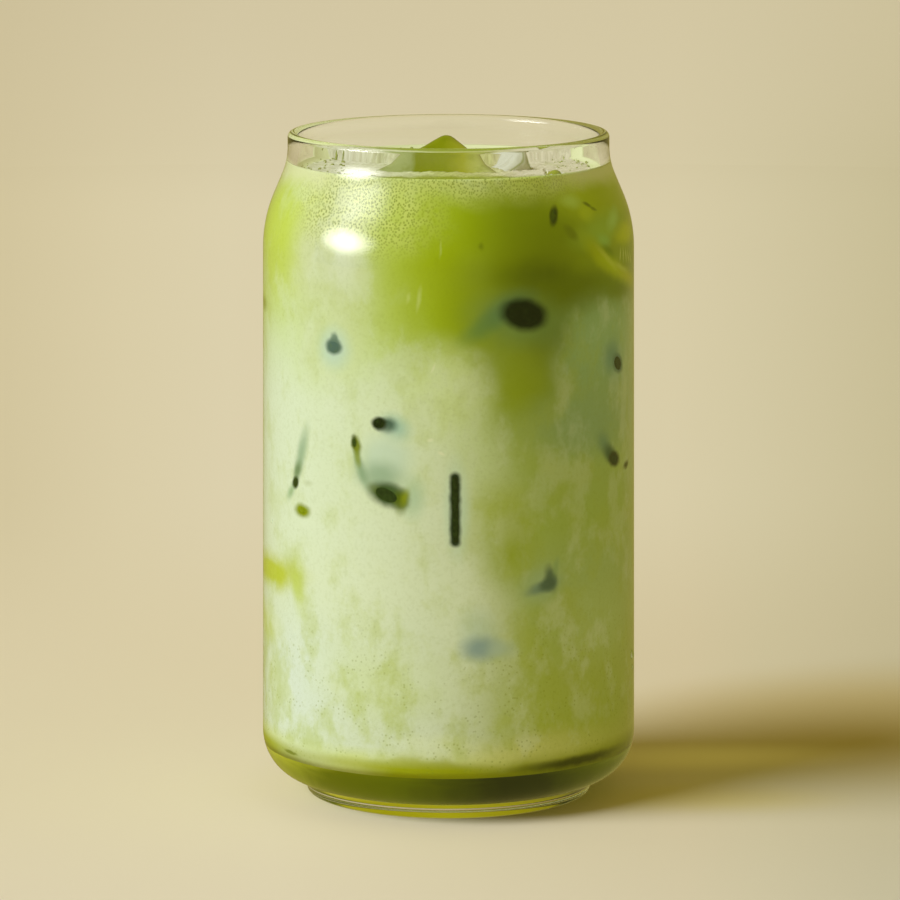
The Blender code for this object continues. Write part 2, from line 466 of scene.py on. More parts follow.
class Finish:
    """A node material that is being put together."""

    def __init__(self, name):
        self.material = bpy.data.materials.new(name)
        self.material.use_nodes = True
        self.tree = self.material.node_tree
        self.tree.nodes.clear()

    def node(self, kind, settings=None, values=None, output=0):
        """Add a node: first its settings, then a value or a link for each socket named or numbered."""
        made = self.tree.nodes.new(kind)
        for key, setting in (settings or {}).items():
            if key == "stops":
                set_stops(made.color_ramp, setting)
            else:
                setattr(made, key, setting)
        for key, value in (values or {}).items():
            if isinstance(value, Wire):
                self.tree.links.new(value.socket, made.inputs[key])
            else:
                made.inputs[key].default_value = value
        return Wire(self, made.outputs[output])

    def place(self):
        """Object coordinates in millimetres."""
        there = self.node("ShaderNodeTexCoord", output="Object")
        return self.vector("SCALE", there, scale=1 / MM)

    def vector(self, operation, a, b=None, scale=None, output=0):
        """Vector Math."""
        values = {0: a}
        if b is not None:
            values[1] = b
        if scale is not None:
            values["Scale"] = scale
        return self.node("ShaderNodeVectorMath", {"operation": operation}, values, output)

    def mix(self, share, first, second):
        """From the first colour to the second by share."""
        values = {0: share, 6: tone(first), 7: tone(second)}
        return self.node("ShaderNodeMix", {"data_type": "RGBA"}, values, 2)

    def wash(self, colour, at, rows):
        """The colour under soft ellipses: rows of a patch's values, with their own colour last but one."""
        for *spread, soft, shown, strength in rows:
            colour = self.mix(patch(self, at, *spread, soft, strength), colour, shown)
        return colour

    def reach(self, x, y):
        """How far (x, y) is from the middle."""
        return self.length(self.node("ShaderNodeCombineXYZ", None, {0: x, 1: y}))

    def length(self, vector):
        """The length of a vector."""
        return self.vector("LENGTH", vector, output="Value")

    def split(self, vector):
        """The three parts of a vector."""
        return [self.node("ShaderNodeSeparateXYZ", None, {0: vector}, k) for k in range(3)]

    def noise(self, place, size, detail=2.0, rough=0.5, output=0):
        """Noise whose features are about size millimetres across."""
        values = {"Vector": place, "Scale": 1 / size, "Detail": detail, "Roughness": rough}
        return self.node("ShaderNodeTexNoise", None, values, output)

    def cells(self, place, size):
        """Distance, in cells of that size, to the nearest of the points scattered over the x and y plane."""
        settings = {"voronoi_dimensions": "2D", "feature": "F1"}
        return self.node("ShaderNodeTexVoronoi", settings, {"Vector": place, "Scale": 1 / size}, "Distance")

    def span(self, value, start, end, low=0.0, high=1.0, kind="SMOOTHSTEP"):
        """value from start..end carried smoothly to low..high, and held outside."""
        values = {"Value": value, "From Min": start, "From Max": end, "To Min": low, "To Max": high}
        return self.node("ShaderNodeMapRange", {"interpolation_type": kind}, values)

    def ramp(self, share, stops):
        """A colour along stops of (share, colour)."""
        return self.node("ShaderNodeValToRGB", {"stops": stops}, {0: share})

    def along(self, value, low, high, stops):
        """A colour by value, along stops of (share of the way from low to high, colour)."""
        return self.ramp(self.span(value, low, high, kind="LINEAR"), stops)

    def surface(self, shader):
        """Use the shader for the surface."""
        end = self.tree.nodes.new("ShaderNodeOutputMaterial")
        self.tree.links.new(shader.socket, end.inputs["Surface"])
        return self.material

    def principled(self, values):
        """A Principled shader."""
        return self.node("ShaderNodeBsdfPrincipled", None, values)

    def done(self, values):
        """Use a Principled shader for the surface."""
        return self.surface(self.principled(values))

    def bump(self, height, distance):
        """A bumped normal; distance is how deep a height of 1 is, in millimetres."""
        return self.node("ShaderNodeBump", None, {"Height": height, "Distance": distance * MM})


def set_stops(ramp, stops):
    """Put the stops (share, colour) on a colour ramp."""
    while len(ramp.elements) < len(stops):
        ramp.elements.new(1.0)
    for element, (share, colour) in zip(ramp.elements, stops):
        element.position = share
        element.color = tone(colour)


def tone(colour):
    """The linear colour of the 0 to 255 values that a screen shows. A wire stays as it is."""
    if isinstance(colour, Wire):
        return colour
    part = np.array(colour) / 255
    linear = np.where(part <= 0.04045, part / 12.92, ((part + 0.055) / 1.055) ** 2.4)
    return (*(float(v) for v in linear), 1.0)


def see_through(finish, shader, tint):
    """The shader for what is seen, and plain tinted passage for shadows and scattered light."""
    shadow = finish.node("ShaderNodeLightPath", output="Is Shadow Ray")
    scattered = finish.node("ShaderNodeLightPath", output="Is Diffuse Ray")
    clear = finish.node("ShaderNodeBsdfTransparent", None, {"Color": tint})
    inner = finish.node("ShaderNodeMixShader", None, {0: scattered, 1: shader, 2: clear})
    return finish.node("ShaderNodeMixShader", None, {0: shadow, 1: inner, 2: clear})


def clear_glass():
    """Clear glass with the faintest green in it and shallow ripples from its mould."""
    finish = Finish("clear_glass")
    ripple = finish.noise(finish.place(), 14.0, 1.0)
    shader = finish.principled({
        "Base Color": (0.985, 0.995, 0.975, 1.0),
        "Roughness": 0.0,
        "IOR": GLASS_IOR,
        "Transmission Weight": 1.0,
        "Normal": finish.bump(ripple, 0.02),
    })
    return finish.surface(see_through(finish, shader, (0.97, 0.98, 0.96, 1.0)))


# The drink against the glass, by height on the left and on the right. Places are (round, up), as for tips.
LEFT_BY_HEIGHT = (
    (10.5, (148, 156, 10)), (12.0, (168, 178, 26)), (13.6, (213, 226, 156)), (16.0, (220, 233, 210)),
    (30.0, (222, 236, 214)), (50.0, (226, 239, 212)), (85.0, (226, 241, 208)), (94.0, (215, 234, 176)),
    (103.0, (204, 227, 140)), (112.0, (202, 224, 122)), (122.0, (200, 220, 112)), (128.0, (206, 220, 150)),
)
RIGHT_BY_HEIGHT = (
    (10.5, (128, 136, 14)), (12.5, (162, 172, 34)), (14.5, (196, 206, 100)), (20.0, (184, 202, 88)),
    (33.0, (190, 209, 122)), (50.0, (181, 205, 132)), (60.0, (178, 203, 104)), (72.0, (176, 202, 116)),
    (80.0, (164, 193, 134)), (98.0, (158, 192, 136)), (104.0, (128, 156, 60)), (110.0, (134, 156, 24)),
    (120.0, (170, 194, 30)), (125.0, (198, 222, 70)), (128.0, (222, 244, 130)),
)
MILK_WHITE = (232, 246, 220)
CREAM = (222, 229, 204)
LIME = (204, 222, 96)
YELLOW_GREEN = (186, 206, 84)
TEA = (172, 196, 6)
DEEP_TEA = (138, 160, 0)
DARK_TEA = (100, 118, 0)

# Clouds, the lowest layer first: round, up, half width, half height, turn, softness, colour, strength
WASHES = {
    "left_shoulder": (-46, 114, 15, 12, 0, 0.7, (200, 220, 80), 0.7),
    "left_milk": (-44, 78, 16, 20, 0, 0.9, (228, 242, 224), 0.6),
    "pale_column": (-25, 115, 9, 16, 0, 0.9, CREAM, 0.95),
    "column_foot": (-27, 100, 8, 10, 0, 0.9, (216, 232, 182), 0.7),
    "middle_green": (-3, 114, 10, 14, 0, 0.8, TEA, 0.97),
    "middle_drift": (-9, 104, 8, 8, 20, 0.9, YELLOW_GREEN, 0.55),
    "middle_low": (1, 103, 8, 8, 0, 0.9, (168, 192, 0), 0.85),
    "dark_band": (14, 112, 11, 11, 0, 0.8, DEEP_TEA, 0.97),
    "dark_core": (20, 110, 8, 7, -4, 0.8, DARK_TEA, 0.95),
    "dark_low": (31, 107, 12, 3.4, -3, 0.7, (116, 136, 4), 0.9),
    "dark_reach": (43, 107, 8, 3.0, 4, 0.9, (134, 160, 22), 0.7),
    "right_tea": (33, 115, 11, 4, -8, 0.9, (150, 172, 16), 0.75),
    "top_middle": (3, 121.0, 12, 6.0, 0, 0.8, (164, 188, 4), 0.95),
    "top_right": (18, 121.5, 11, 6.5, 0, 0.8, (134, 154, 4), 0.95),
    "top_left_drift": (-12, 120, 5, 7, 0, 0.9, (186, 208, 90), 0.6),
    "finger_root": (9, 99, 8, 5, -30, 0.9, (148, 170, 8), 0.85),
    "finger": (16, 93, 7.5, 12, 4, 0.8, (148, 170, 46), 0.95),
    "finger_edge": (12.5, 87, 6.5, 6.5, 10, 0.8, (158, 180, 40), 0.9),
    "finger_tip": (17, 77, 6, 6, 0, 0.9, (180, 202, 96), 0.7),
    "milk_head": (0, 88, 7.0, 8.5, 20, 0.7, (222, 240, 178), 0.75),
    "milk_neck": (6, 76, 5, 10, 0, 0.9, (204, 226, 158), 0.6),
    "right_milk": (38, 97, 14, 7, -4, 0.6, (166, 202, 150), 0.8),
    "right_haze": (30, 79, 12, 5, -10, 0.9, (156, 188, 142), 0.7),
    "far_right_pale": (51, 84, 6, 20, 0, 0.9, (198, 220, 180), 0.7),
    "olive_one": (10, 64, 6, 5, 10, 0.9, (178, 198, 72), 0.75),
    "olive_two": (11.5, 55, 5, 6, -10, 0.9, (166, 187, 44), 0.9),
    "olive_three": (20, 38, 5, 8, 0, 0.9, (174, 196, 72), 0.75),
    "dark_drip": (20.5, 98.5, 4.5, 4.0, 0, 0.9, (112, 132, 8), 0.6),
    "right_bottom": (17, 15.2, 13, 2.4, 0, 0.9, (226, 232, 156), 0.75),
    "low_olive": (-3, 12.4, 11, 1.2, 0, 0.8, (160, 168, 4), 0.6),
    "low_left_milk": (-24, 11.6, 8, 1.6, 0, 0.9, (200, 208, 140), 0.6),
    "lower_right": (32, 24, 20, 9, 0, 0.9, (182, 202, 96), 0.5),
    "lower_right_pale": (32, 39, 12, 6, 0, 0.9, (196, 218, 150), 0.6),
    "left_patch": (-47, 47.8, 13, 3.6, 3, 0.6, (192, 206, 10), 0.92),
    "left_tail": (-34.2, 46.5, 2.2, 5.5, 6, 0.8, (196, 214, 92), 0.8),
    "left_low": (-50, 36.5, 7, 3.2, -6, 0.8, (212, 225, 130), 0.75),
    "left_lower": (-45, 25, 2.6, 4.2, 20, 0.9, (210, 224, 150), 0.5),
    "left_white": (-35, 26, 11, 11, 0, 0.9, (224, 238, 232), 0.8),
    "centre_white": (3, 46, 6, 9, -8, 0.9, MILK_WHITE, 0.8),
    "centre_left_milk": (-14, 50, 12, 12, 0, 0.9, (229, 241, 212), 0.6),
    "low_green": (-12, 29, 14, 6, 0, 0.9, (212, 228, 158), 0.5),
    "low_white": (-2, 16.5, 7, 2.0, 0, 0.9, (232, 244, 200), 0.6),
    "back_tea": (74, 114, 18, 11, 0, 0.8, TEA, 0.9),
    "back_dark": (84, 109, 13, 6, 8, 0.8, DEEP_TEA, 0.8),
    "back_finger": (88, 90, 7, 12, -14, 0.8, (160, 184, 60), 0.8),
    "back_tea_left": (-82, 114, 15, 11, 0, 0.9, YELLOW_GREEN, 0.8),
    "back_milk": (-86, 76, 13, 14, 8, 0.9, MILK_WHITE, 0.6),
    "back_patch": (-86, 58, 12, 5, 12, 0.8, LIME, 0.6),
    "back_low": (80, 34, 16, 10, -10, 0.9, YELLOW_GREEN, 0.5),
}

# Ice that touches the wall, the dim or pale halos round it and a few other dark or olive marks, in the same
# columns as the clouds
# The near black and dark olive of the ice are painted shade: through the clear ice the unlit inside of the
# drink shows
MARKS = (
    (14.5, 102.2, 8.0, 4.2, -8, 0.9, (122, 158, 100), 0.7),
    (7.4, 101.6, 4.6, 1.7, 34, 0.9, (112, 152, 84), 0.75),
    (12.4, 104.8, 4.4, 2.4, 20, 0.8, (96, 140, 110), 0.55),
    (15.3, 103.3, 4.9, 3.1, -14, 0.32, (20, 38, 14), 1.0),
    (23.2, 121.9, 1.0, 2.0, -28, 0.4, (70, 84, 12), 0.95),
    (26.8, 118.5, 1.9, 1.0, -40, 0.6, (128, 146, 18), 0.85),
    (-24.2, 95.8, 3.2, 3.4, 0, 0.8, (198, 226, 214), 0.9),
    (-24.2, 96.2, 1.95, 1.65, 0, 0.35, (84, 112, 100), 0.95),
    (-24.0, 97.8, 0.9, 1.2, 0, 0.5, (104, 132, 116), 0.85),
    (-10.6, 81.0, 2.6, 2.0, -24, 0.9, (158, 202, 190), 0.8),
    (-12.1, 81.3, 1.8, 1.4, 0, 0.6, (54, 86, 70), 0.9),
    (-13.9, 81.5, 1.6, 1.3, -6, 0.35, (30, 46, 22), 1.0),
    (-12.6, 74.4, 5.0, 4.6, 20, 0.6, (206, 229, 212), 0.8),
    (-13.8, 71.0, 4.2, 2.6, 0, 0.8, (152, 182, 152), 0.8),
    (-17.6, 71.6, 0.9, 3.2, 22, 0.9, (144, 174, 140), 0.85),
    (-18.6, 74.4, 0.6, 1.8, 10, 0.7, (142, 160, 70), 0.9),
    (-18.9, 76.9, 1.0, 1.8, 12, 0.5, (122, 138, 18), 0.95),
    (-19.4, 77.5, 0.6, 1.1, 6, 0.6, (54, 70, 10), 0.9),
    (-7.0, 67.0, 2.0, 3.4, 0, 0.9, (180, 210, 180), 0.75),
    (-12.4, 67.4, 3.4, 2.2, -14, 0.5, (50, 76, 28), 1.0),
    (-11.0, 67.4, 2.4, 1.9, -20, 0.6, (70, 98, 52), 0.85),
    (-14.9, 68.5, 1.2, 0.9, -24, 0.8, (96, 118, 36), 0.5),
    (-9.3, 66.2, 1.5, 2.2, -12, 0.6, (92, 112, 10), 0.9),
    (-8.5, 67.0, 0.7, 1.6, -16, 0.9, (150, 164, 20), 0.7),
    (-33.3, 73.6, 1.2, 4.6, -17, 0.9, (152, 182, 150), 0.85),
    (-34.6, 69.8, 0.9, 2.0, -22, 0.8, (98, 128, 80), 0.8),
    (-36.8, 65.4, 0.8, 1.8, -35, 0.9, (150, 184, 136), 0.8),
    (-35.2, 67.4, 1.0, 1.3, -35, 0.4, (44, 66, 8), 1.0),
    (-33.0, 62.0, 2.3, 1.3, 0, 0.5, (140, 156, 10), 1.0),
    (-31.2, 67.8, 1.1, 0.5, 0, 0.9, (206, 220, 184), 0.8),
    (1.6, 64.6, 2.2, 8.4, 1, 0.6, (208, 234, 214), 0.8),
    (39.4, 92.2, 2.6, 2.4, -35, 0.9, (112, 152, 138), 0.85),
    (41.8, 90.7, 2.5, 1.75, -35, 0.35, (52, 68, 52), 1.0),
    (36.2, 75.2, 2.4, 1.6, -45, 0.9, (124, 160, 132), 0.8),
    (38.4, 72.8, 2.4, 1.5, -30, 0.7, (72, 104, 76), 0.9),
    (40.2, 71.4, 2.3, 1.5, -16, 0.4, (54, 64, 26), 1.0),
    (46.5, 69.2, 1.6, 0.8, 6, 0.5, (100, 110, 54), 0.95),
    (19.6, 48.6, 4.0, 3.0, 20, 0.9, (176, 206, 176), 0.7),
    (19.2, 48.1, 3.2, 1.1, 14, 0.7, (122, 152, 140), 0.85),
    (21.2, 49.6, 1.2, 2.4, 14, 0.6, (92, 118, 98), 0.9),
    (20.4, 48.6, 1.7, 1.3, 24, 0.6, (90, 116, 98), 0.9),
    (22.4, 51.8, 0.6, 1.6, -12, 0.9, (156, 188, 130), 0.7),
    (6.0, 39.5, 3.2, 4.4, 10, 0.9, (200, 224, 212), 0.6),
    (6.3, 36.6, 3.3, 2.1, 0, 0.8, (150, 178, 184), 0.95),
    (10.4, 36.2, 2.6, 1.6, 0, 0.9, (190, 214, 200), 0.7),
    (-53.0, 101.5, 3.0, 1.3, 0, 0.8, (140, 156, 60), 0.8),
    (-37.0, 11.6, 2.2, 0.32, -3, 0.5, (120, 130, 40), 0.9),
    (28.0, 11.5, 12.0, 0.9, 0, 0.7, (50, 54, 8), 0.85),
    (40.3, 91.5, 4.2, 3.4, -35, 0.9, (140, 180, 160), 0.5),
    (-92.0, 82.0, 3.0, 1.8, 24, 0.35, (40, 52, 16), 1.0),
    (86.0, 64.0, 2.2, 1.6, -12, 0.4, (60, 80, 30), 0.95),
    (-70.0, 50.0, 2.4, 2.0, 0, 0.7, (150, 178, 150), 0.9),
    (102.0, 104.0, 4.0, 2.4, 10, 0.35, (34, 44, 14), 1.0),
)

# The long edge of a block, seen end on: round and up of its middle, half length, half width and softness
EDGE_MARK = (1.3, 64.7, 6.4, 1.05, 0.5)
# The edge's dark colour is painted shade: through the ice the unlit inside of the drink shows
EDGE_PAINTED_SHADE = (36, 56, 34)

# Where the greener right-hand side lies round the wall, and the calm bottom line under the clouds
RIGHT_MIDDLE = 45.0
RIGHT_REACH = 34.0
RIGHT_SOFT = 8.0
CALM_LINE = (13.0, 20.0)

# Mottling of the milk: size and colour of its green and white, and the share of them at most
GREEN_MOTTLE = (7.5, (184, 202, 84))
WHITE_MOTTLE = (8.5, (230, 243, 222))
MOTTLE_SHARE = 0.5
SPECK = (140, 158, 40)
GRAIN = (136, 158, 20)

# Foam: the size of its bubbles, its patches on the wall in a patch's columns, and its colours
FOAM_CELL = 0.6
FOAM_PATCHES = ((-20.0, 124.0, 17.0, 8.0, -6, 0.5, 1.0), (6.0, 129.0, 26.0, 3.6, 0, 0.8, 0.9))
FOAM_PALE = (222, 230, 140)
FOAM_DARK = (112, 132, 10)
FOAM_LIP = (228, 234, 190)

# Folds of foam and tea on the right, and pale scratches of foam: as the marks, but under them
FOLDS = (
    (40.0, 124.0, 13.0, 3.2, 0, 0.7, (178, 200, 6), 0.85),
    (29.0, 124.2, 2.6, 1.1, -8, 0.9, (196, 226, 110), 0.7),
    (32.6, 121.6, 2.0, 1.4, 0, 0.7, (196, 218, 48), 0.7),
    (33.6, 123.1, 1.2, 0.35, -18, 0.6, (104, 124, 6), 0.8),
    (35.3, 122.2, 1.0, 0.3, -20, 0.6, (112, 134, 6), 0.7),
    (37.0, 118.2, 7.5, 2.3, 8, 0.9, (172, 208, 78), 0.85),
    (36.5, 116.0, 2.2, 1.1, -10, 0.9, (166, 212, 104), 0.8),
    (42.0, 119.6, 2.8, 1.2, 24, 0.9, (186, 226, 124), 0.8),
    (47.5, 116.2, 5.5, 1.9, 4, 0.8, (210, 226, 6), 0.85),
    (44.5, 112.3, 5.6, 1.9, -12, 0.7, (156, 180, 42), 0.8),
    (38.0, 113.4, 2.6, 0.9, -34, 0.8, (116, 148, 8), 0.85),
    (34.0, 114.0, 4.4, 1.6, -40, 0.95, (184, 202, 6), 0.75),
    (40.2, 110.4, 5.6, 1.5, -26, 0.95, (196, 218, 12), 0.8),
    (48.0, 107.4, 5.0, 1.5, -18, 0.95, (204, 214, 34), 0.75),
    (42.0, 105.6, 6.0, 1.5, -4, 0.9, (122, 146, 14), 0.7),
    (37.4, 112.6, 3.6, 0.5, -36, 0.95, (222, 236, 110), 0.4),
    (43.5, 110.0, 3.2, 0.5, -20, 0.95, (222, 236, 120), 0.4),
    (43.2, 112.6, 0.25, 1.1, -10, 0.8, (224, 236, 130), 0.6),
    (44.8, 112.4, 0.25, 1.2, 4, 0.8, (224, 236, 130), 0.6),
    (46.4, 112.0, 0.25, 1.2, 14, 0.8, (224, 236, 130), 0.6),
    (48.0, 111.6, 0.25, 1.2, 22, 0.8, (224, 236, 130), 0.6),
    (49.8, 111.2, 0.25, 1.2, 30, 0.8, (224, 236, 130), 0.6),
    (-5.8, 106.8, 0.35, 1.9, -8, 0.9, (214, 230, 140), 0.5),
    (-8.0, 106.9, 0.3, 0.9, -14, 0.9, (214, 230, 140), 0.4),
    (-1.6, 116.5, 0.2, 1.3, 0, 0.9, (214, 230, 140), 0.3),
    (6.5, 117.0, 0.5, 0.6, 0, 0.8, (110, 130, 8), 0.6),
    (-3.0, 93.0, 0.2, 0.9, -20, 0.9, (240, 248, 214), 0.6),
    (-1.4, 76.0, 0.6, 0.25, -30, 0.9, (244, 250, 220), 0.7),
    (-3.6, 78.6, 0.5, 0.3, 10, 0.9, (244, 250, 220), 0.6),
)


def patch(finish, at, round_, up, wide, high, turn, soft, strength=1.0):
    """strength in an ellipse of half axes wide and high, falling to 0 over the softness, a share of its size.

    Two dot products carry the place into the ellipse's own axes, where it is a circle of radius 1.
    """
    local = finish.vector("SUBTRACT", at, (round_, up, 0.0))
    c, s = math.cos(math.radians(turn)), math.sin(math.radians(turn))
    along = finish.vector("DOT_PRODUCT", local, (c / wide, s / wide, 0.0), output="Value")
    across = finish.vector("DOT_PRODUCT", local, (-s / high, c / high, 0.0), output="Value")
    return finish.span(finish.reach(along, across), 1 + soft, 1 - soft, 0.0, strength)


def wall_place(finish, place):
    """(round, up, 0) of a point of the drink, by its angle about the axis, and both numbers alone."""
    x, y, z = finish.split(place)
    round_ = x.math("ARCTAN2", x, 0.0 - y) * WALL_RADIUS
    return finish.node("ShaderNodeCombineXYZ", None, {0: round_, 1: z}), round_, z


def wander(finish, place, size, reach, detail):
    """A vector that wanders by reach millimetres over size millimetres."""
    cloud = finish.noise(place, size, detail, output="Color")
    centred = finish.vector("SUBTRACT", cloud, (0.5, 0.5, 0.5))
    return finish.vector("SCALE", centred, scale=2 * reach)


def by_height(finish, up, stops):
    """A colour by height from stops of (millimetres, colour)."""
    low, high = stops[0][0], stops[-1][0]
    return finish.along(up, low, high, [((height - low) / (high - low), colour) for height, colour in stops])


def capsule(finish, at, round_, up, long, wide, soft):
    """1 in an upright bar with round ends, whose middle line is 2 long, falling to 0 over the softness."""
    local = finish.vector("SUBTRACT", at, (round_, up, 0.0))
    x, y, _ = finish.split(local)
    past_end = (y.magnitude() - long).largest(0.0)
    return finish.span(finish.reach(x, past_end), wide * (1 + soft), wide * (1 - soft))


def foam_cells(finish, at):
    """The foam's cells over the plane of at, which wander a little, and its bubbles: 1 amid a cell."""
    shift = wander(finish, finish.place(), 2.4, 0.3, 1.0)
    cells = finish.cells(finish.vector("ADD", at, shift), FOAM_CELL)
    return cells, finish.span(cells, 0.46, 0.14)


def mottled(finish, colour, place, at, up):
    """The milk's mottling: upright clouds of noise, strongest low down, scarce specks and fine grain."""
    upright = finish.vector("MULTIPLY", place, (1.0, 1.0, 0.75))
    elsewhere = finish.vector("ADD", upright, (31.0, 7.0, 12.0))
    milky = finish.span(finish.node("ShaderNodeSeparateColor", None, {0: colour}, 2), 0.02, 0.2)
    where = milky * finish.span(up, 60.0, 22.0, 0.6, 1.0) * finish.span(up, 12.5, 15.0) * MOTTLE_SHARE
    green = finish.span(finish.noise(upright, GREEN_MOTTLE[0], 6.0, 0.62), 0.46, 0.66)
    colour = finish.mix(green * where, colour, GREEN_MOTTLE[1])
    white = finish.span(finish.noise(elsewhere, WHITE_MOTTLE[0], 6.0, 0.6), 0.47, 0.66)
    colour = finish.mix(white * where, colour, WHITE_MOTTLE[1])
    sparse = finish.span(finish.noise(place, 5.0, 2.0), 0.48, 0.6) * finish.span(up, 50.0, 28.0, 0.0, 0.4)
    colour = finish.mix(finish.span(finish.cells(at, 1.3), 0.2, 0.08) * sparse, colour, SPECK)
    grain = finish.span(finish.noise(place, 0.7, 3.0, 0.6), 0.45, 0.75, 0.0, 0.12)
    return finish.mix(grain, colour, GRAIN)


def foamy(finish, colour, place, at, bent, round_, up):
    """Foam against the wall: a pale net round dark bubbles, and a pale lip that is deep round the back."""
    _, bubbles = foam_cells(finish, at)
    net = finish.span(finish.noise(place, 2.2, 2.0), 0.35, 0.6, 0.55, 1.0)
    thick, thin = (patch(finish, bent, *row) for row in FOAM_PATCHES)
    foam = thick.largest(thin) * net
    colour = finish.mix(foam * 0.5, colour, FOAM_PALE)
    colour = finish.mix(foam * bubbles * 0.7, colour, FOAM_DARK)
    _, bent_up, _ = finish.split(bent)
    from_front = round_.magnitude()
    behind = finish.span(from_front, 52.0, 62.0) * finish.span(bent_up, 119.0, 126.0)
    beside = finish.span(from_front, 22.0, 36.0) * finish.span(bent_up, 124.6, 129.0, 0.0, 0.8)
    return finish.mix(beside.largest(behind), colour, FOAM_LIP)


def milk_and_tea():
    """The drink against the glass: tea that clouds into milk, foam at the top, and dark contacts of ice in
    painted shade.
    """
    finish = Finish("milk_and_tea")
    place = finish.place()
    at, round_, up = wall_place(finish, place)
    bent = finish.vector("ADD", at, wander(finish, place, 13.0, 2.4, 3.0))
    bent_round, bent_up, _ = finish.split(bent)
    height = up + (bent_up - up) * finish.span(up, *CALM_LINE)
    from_right = (bent_round - RIGHT_MIDDLE).magnitude()
    right = finish.span(from_right, RIGHT_REACH + RIGHT_SOFT, RIGHT_REACH - RIGHT_SOFT)
    left_colour = by_height(finish, height, LEFT_BY_HEIGHT)
    colour = finish.mix(right, left_colour, by_height(finish, height, RIGHT_BY_HEIGHT))
    colour = finish.wash(colour, bent, WASHES.values())
    colour = mottled(finish, colour, place, at, up)
    near = finish.vector("ADD", at, wander(finish, place, 2.0, 0.3, 2.0))
    colour = finish.wash(colour, near, FOLDS + MARKS)
    colour = finish.mix(capsule(finish, near, *EDGE_MARK), colour, EDGE_PAINTED_SHADE)
    colour = foamy(finish, colour, place, at, bent, round_, up)
    return finish.done({"Base Color": colour, "Roughness": 0.5, "Specular IOR Level": 0.0})


# Colours across a piece from left to right, as shares of its way
# Under the drink, darker to the right: the dark rim is painted shade, and the pale middle is painted light
# for light scattered down through the milk
SHADED_RIM_BELOW = (
    (0.0, (166, 170, 60)), (0.08, (150, 154, 40)), (0.22, (86, 92, 2)), (0.38, (80, 88, 2)),
    (0.5, (58, 64, 6)), (0.62, (34, 38, 8)), (0.72, (36, 40, 8)), (0.86, (72, 78, 8)), (1.0, (108, 114, 28)),
)
LIT_MIDDLE_BELOW = (
    (0.0, (196, 190, 74)), (0.18, (184, 178, 56)), (0.34, (150, 146, 10)), (0.5, (158, 154, 16)),
    (0.68, (140, 134, 10)), (0.82, (84, 80, 4)), (1.0, (116, 108, 16)),
)
FROTH = (
    (0.0, (228, 232, 206)), (0.2, (238, 240, 222)), (0.36, (224, 230, 190)), (0.48, (196, 204, 128)),
    (0.62, (206, 208, 146)), (0.7, (230, 224, 204)), (1.0, (226, 222, 198)),
)
COATED_ICE = (
    (0.0, (176, 188, 130)), (0.29, (160, 172, 108)), (0.32, (126, 138, 4)), (0.47, (132, 143, 6)),
    (0.58, (160, 164, 40)), (0.68, (184, 190, 106)), (0.8, (202, 206, 152)), (1.0, (150, 160, 40)),
)
# Clear ice by the way it faces: painted white for the light in it, and two dim stops of painted shade where
# it turns away from the light
CLEAR_ICE_PAINTED_LIGHT = (
    (0.0, (240, 242, 230)), (0.6, (236, 238, 222)), (0.66, (180, 188, 126)), (0.72, (228, 230, 208)),
    (0.86, (220, 222, 196)), (0.92, (176, 184, 120)), (1.0, (214, 214, 186)),
)

# Colours of a tip of sunk ice by its shade: the near black and olive are painted shade, the unlit inside of
# the drink seen through clear ice
TIP_SHADES = (
    (0.0, (18, 36, 12)), (0.3, (48, 70, 28)), (0.55, (80, 98, 14)), (0.75, (140, 158, 12)),
    (0.9, (90, 118, 96)), (1.0, (82, 112, 104)),
)


def underside_painted_shade_and_glow():
    """The underside of the drink: a dark olive rim of painted shade, and a pale middle of painted light that
    glows.
    """
    finish = Finish("underside_painted_shade_and_glow")
    place = finish.place()
    x, y, _ = finish.split(place)
    away = finish.reach(x, y)
    mottle = (finish.noise(place, 4.0, 3.0) - 0.5) * 6.0
    rim = finish.along(x + mottle, -38.0, 38.0, SHADED_RIM_BELOW)
    middle = finish.along(x, -30.0, 30.0, LIT_MIDDLE_BELOW)
    colour = finish.mix(finish.span(away, 15.5, 18.5), middle, rim)
    # The emission is painted light: a glow for the light scattered down through the milk
    return finish.done({
        "Base Color": colour,
        "Roughness": 0.5,
        "Specular IOR Level": 0.0,
        "Emission Color": colour,
        "Emission Strength": 0.85,
    })


def froth():
    """The open surface: fine foam, whitest on the left, creamy on the right and green by the front wall."""
    finish = Finish("froth")
    place = finish.place()
    x, y, _ = finish.split(place)
    cells, bubbles = foam_cells(finish, place)
    across = x + (finish.noise(place, 9.0, 3.0) - 0.5) * 10.0
    colour = finish.along(across, -33.0, 33.0, FROTH)
    front = finish.span(y, -17.0, -23.0) * finish.span(x.magnitude(), 25.0, 17.0, 0.4, 1.0)
    colour = finish.mix(front * 0.95, colour, (156, 172, 44))
    clear = finish.span(finish.noise(place, 5.0, 4.0, 0.6), 0.56, 0.66, 0.0, 0.25)
    colour = finish.mix(clear, colour, (170, 184, 80))
    colour = finish.mix(bubbles * (front * 0.45 + 0.15), colour, (112, 128, 20))
    return finish.done({
        "Base Color": colour,
        "Roughness": 0.4,
        "Specular IOR Level": 0.12,
        "Normal": finish.bump(cells, 0.05),
    })


